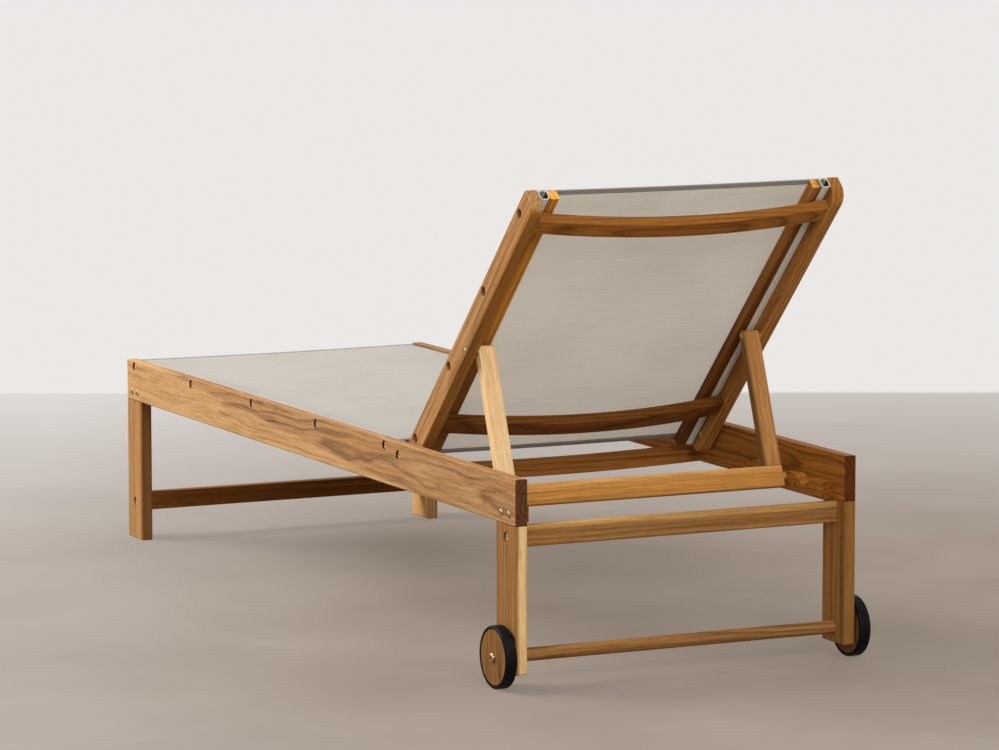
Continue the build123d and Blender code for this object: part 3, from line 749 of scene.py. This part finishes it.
def stretched_cloth(name, bead_x, length):
    """A sheet over two battens whose long edges drop into the channels and wrap round a bead.

    It is made flat, with its near end at Y = 0 and its top face at Z = 0.
    """
    deselect()
    bpy.ops.mesh.primitive_grid_add(x_subdivisions=cloth_columns, y_subdivisions=cloth_rows, size=1)
    cloth = bpy.context.object
    cloth.scale = (2 * bead_x, length, 1)
    cloth.location = (0, length / 2, -cloth_thickness / 2)
    settle(cloth)
    for point in cloth.data.vertices:
        midway = math.sin(math.pi * point.co.y / length)
        slack = end_sag_share + (1 - end_sag_share) * midway
        point.co.z -= cloth_sag * slack * (1 - (point.co.x / bead_x) ** 2)
    edit(cloth)
    bpy.ops.mesh.select_mode(type="EDGE")
    for side in (-1, 1):
        pick_edges(cloth, lambda end: abs(end.x - side * bead_x) < merge_distance
                   and bead_inset < end.y < length - bead_inset)
        for step in ((side * edge_out, 0, -edge_down), (0, 0, bead_radius - bead_drop)):
            bpy.ops.mesh.extrude_region_move(TRANSFORM_OT_translate={"value": step})
        bpy.ops.mesh.spin(steps=14, angle=-side * bead_wrap, axis=(0, 1, 0),
                          center=(side * bead_middle(bead_x), length / 2, -bead_drop))
        bpy.ops.mesh.select_all(action="DESELECT")
    bpy.ops.mesh.select_all(action="SELECT")
    bpy.ops.mesh.remove_doubles(threshold=merge_distance)
    bpy.ops.mesh.normals_make_consistent(inside=False)
    bpy.ops.object.mode_set(mode="OBJECT")
    apply_modifier(cloth, "SOLIDIFY", thickness=cloth_thickness, offset=0)
    bpy.ops.object.shade_smooth_by_angle(angle=math.radians(50))
    cloth.name = name
    return cloth


def sag_end(strip, half_width):
    """Let what lies across a cloth's end follow the cloth's sag there."""
    for point in strip.data.vertices:
        point.co.z -= end_sag_share * cloth_sag * (1 - (point.co.x / half_width) ** 2)


def end_hem(name, half_width, at, inwards):
    """A strip folded round the end of a cloth, at a distance along it, made in the cloth's flat place."""
    deselect()
    bpy.ops.mesh.primitive_cube_add(size=1)
    strip = bpy.context.object
    strip.scale = (2 * half_width, hem_width, hem_thickness)
    strip.location = (0, at + inwards * hem_width / 2, -cloth_thickness / 2)
    settle(strip)
    edit(strip)
    bpy.ops.mesh.select_all(action="SELECT")
    bpy.ops.mesh.bevel(offset=0.45 * hem_thickness, segments=3)
    for step in range(1 - hem_steps, hem_steps):
        bpy.ops.mesh.select_all(action="SELECT")
        bpy.ops.mesh.bisect(plane_co=(step * half_width / hem_steps, 0, 0), plane_no=(1, 0, 0))
    bpy.ops.object.mode_set(mode="OBJECT")
    sag_end(strip, half_width)
    bpy.ops.object.shade_smooth_by_angle(angle=math.radians(40))
    strip.name = name
    return strip


def stitch_row(name, half_width, at):
    """A row of stitches across a hem, on both its faces."""
    deselect()
    bpy.ops.mesh.primitive_cylinder_add(vertices=6, radius=stitch_radius, depth=stitch_length,
                                        rotation=(0, math.pi / 2, 0))
    stitch = settle(bpy.context.object)
    edit(stitch)
    pick_faces(stitch, lambda middle, normal: abs(normal.x) > 0.9)
    bpy.ops.mesh.inset(thickness=0.5 * stitch_radius, depth=0.4 * stitch_radius)
    bpy.ops.object.mode_set(mode="OBJECT")
    bpy.ops.object.shade_smooth()
    count = int(2 * half_width / stitch_pitch)
    first = -(count - 1) / 2 * stitch_pitch
    rows = []
    for face in (-1, 1):
        height = -cloth_thickness / 2 + face * hem_thickness / 2
        rows.append(copy_of(stitch, Matrix.Translation((first, at, height))))
    bpy.data.objects.remove(stitch)
    row = joined(rows, name)
    apply_modifier(row, "ARRAY", count=count, use_relative_offset=False, use_constant_offset=True,
                   constant_offset_displace=(stitch_pitch, 0, 0))
    sag_end(row, half_width)
    return row


def fit_sling(node, body, place, length, weave, hem_weave, hem_half):
    """A cloth with its two hems, their stitches and the beads in its long edges."""
    bead_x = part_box(node)[1].x - bead_radius
    cloth = stretched_cloth(f"{node}_cloth", bead_x, length)
    trims = [(bead_core(f"{node}_{side}_bead", way * bead_middle(bead_x), length), dark_bead_and_shade)
             for side, way in (("left", 1), ("right", -1))]
    for end, at, inwards in (("near", 0, 1), ("far", length, -1)):
        hem = end_hem(f"{node}_{end}_hem", hem_half, at, inwards)
        row = stitch_row(f"{node}_{end}_stitches", hem_half - stitch_setback,
                         at + inwards * stitch_line * hem_width)
        trims.append((hem, hem_weave))
        trims.append((row, hem_thread))
    cloth.data.transform(place)
    finish_piece(cloth, weave, body)
    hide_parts(node)
    for trim, material in trims:
        trim.data.transform(place)
        finish_piece(trim, material, body)


seat_low, seat_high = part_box("seat_sling")
seat_place = Matrix.Translation((0, seat_low.y, seat_high.z))
seat_hem_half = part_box("left_seat_channel")[1].x - hem_setback
fit_sling("seat_sling", "base", seat_place, seat_high.y - seat_low.y, seat_weave, seat_hem, seat_hem_half)

back_start, back_end = reach("back_sling", back_along)
back_face = reach("back_sling", back_front)[1]
back_corner = back_along * back_start + back_front * back_face
back_place = Matrix.Translation(back_corner) @ Matrix.Rotation(back_angle, 4, "X")
back_hem_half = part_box("left_back_channel")[1].x - hem_setback
fit_sling("back_sling", "backrest", back_place, back_end - back_start, back_weave, back_hem, back_hem_half)


# Floor, light and camera

camera_place = Vector((3.6590, 7.7669, 1.5244))
camera_aim = Vector((-0.4293, -0.8940, -0.1282))
floor_turn = math.atan2(camera_aim.x, camera_aim.y)
backdrop_tone = (0.83, 0.81, 0.79, 1)


def way_off(tree, aside, behind):
    """How far a spot on the floor is behind the lounger; before and beside it counts for less."""
    before_share = 0.6
    beside_share = 0.5
    before = reckon(tree, "MULTIPLY", behind, -before_share)
    beside = reckon(tree, "MULTIPLY", reckon(tree, "ABSOLUTE", aside), beside_share)
    return reckon(tree, "MAXIMUM", reckon(tree, "MAXIMUM", behind, before), beside)


def pale_floor():
    """A warm grey floor that fades to a pale backdrop behind and beside the lounger.

    What the camera sees of it keeps part of its lit tone in the lounger's shadow, so the shadow is soft.
    """
    shadow_lift = 0.55
    lit_strength = 1.4
    fade_length = 3.0
    material, tree, shader = new_material("pale_floor")
    place = put(tree, "ShaderNodeTexCoord").outputs["Object"]
    paces = put(tree, "ShaderNodeSeparateXYZ", {"Vector": laid(tree, place, Rotation=(0, 0, floor_turn))})
    aside = paces.outputs["X"]
    behind = paces.outputs["Y"]
    screed = ramp(tree, noise(tree, place, 2.2, 6.0),
                  [(0.35, (0.248, 0.202, 0.165)), (0.65, (0.285, 0.235, 0.195))])
    tree.links.new(screed, shader.inputs["Base Color"])
    shader.inputs["Roughness"].default_value = 0.75
    shader.inputs["Specular IOR Level"].default_value = 0.2

    shown = seen(tree)
    lit = put(tree, "ShaderNodeEmission", {"Color": screed, "Strength": lit_strength})
    lift = reckon(tree, "MULTIPLY", shown, shadow_lift)
    ground = mix_shaders(tree, lift, shader.outputs["BSDF"], lit.outputs["Emission"])

    fade = ramp(tree, level(tree, way_off(tree, aside, behind), 0.0, fade_length, 0.0, 1.0),
                [(0.2, (0, 0, 0)), (0.945, (0.52, 0.52, 0.52)), (0.965, (1, 1, 1))])
    paler = reckon(tree, "ADD", fade, level(tree, aside, -0.1, -1.0, 0.0, 0.27), use_clamp=True)
    backdrop = put(tree, "ShaderNodeEmission", {"Color": backdrop_tone, "Strength": 1.0})
    share = reckon(tree, "MULTIPLY", paler, shown)
    both = mix_shaders(tree, share, ground, backdrop.outputs["Emission"])
    tree.links.new(both, tree.nodes["Material Output"].inputs["Surface"])
    return material


def soft_lamp(name, place, aim, size, power):
    """A round lamp that points at a spot."""
    light = bpy.data.lights.new(name, "AREA")
    light.shape = "DISK"
    light.size = size
    light.energy = power
    lamp = bpy.data.objects.new(name, light)
    lamp.location = place
    lamp.rotation_euler = (Vector(aim) - Vector(place)).to_track_quat("-Z", "Y").to_euler()
    bpy.context.scene.collection.objects.link(lamp)


deselect()
bpy.ops.mesh.primitive_plane_add(size=60)
floor = bpy.context.object
floor.name = "floor"
floor.data.materials.append(pale_floor())

world = bpy.data.worlds.new("studio")
world.use_nodes = True
sky = world.node_tree
studio = sky.nodes["Background"]
studio.inputs["Color"].default_value = (1.0, 0.965, 0.92, 1)
studio.inputs["Strength"].default_value = 0.45
backdrop = put(sky, "ShaderNodeBackground", {"Color": backdrop_tone, "Strength": 1.0})
both = mix_shaders(sky, seen(sky), studio.outputs["Background"], backdrop.outputs["Background"])
sky.links.new(both, sky.nodes["World Output"].inputs["Surface"])
bpy.context.scene.world = world

soft_lamp("key_lamp", (4.3, -2.9, 4.9), (0, 0, 0.3), 4.2, 595)
soft_lamp("rear_lamp", (0.6, 5.6, 3.2), (0, 0.8, 0.4), 2.4, 175)

lens = bpy.data.cameras.new("photo_camera")
lens.sensor_fit = "HORIZONTAL"
lens.sensor_width = 36
lens.lens = 166.63
camera = bpy.data.objects.new("photo_camera", lens)
camera.location = camera_place
camera.rotation_euler = camera_aim.to_track_quat("-Z", "Y").to_euler()
bpy.context.scene.collection.objects.link(camera)
bpy.context.scene.camera = camera
bpy.context.scene.view_settings.view_transform = "Standard"
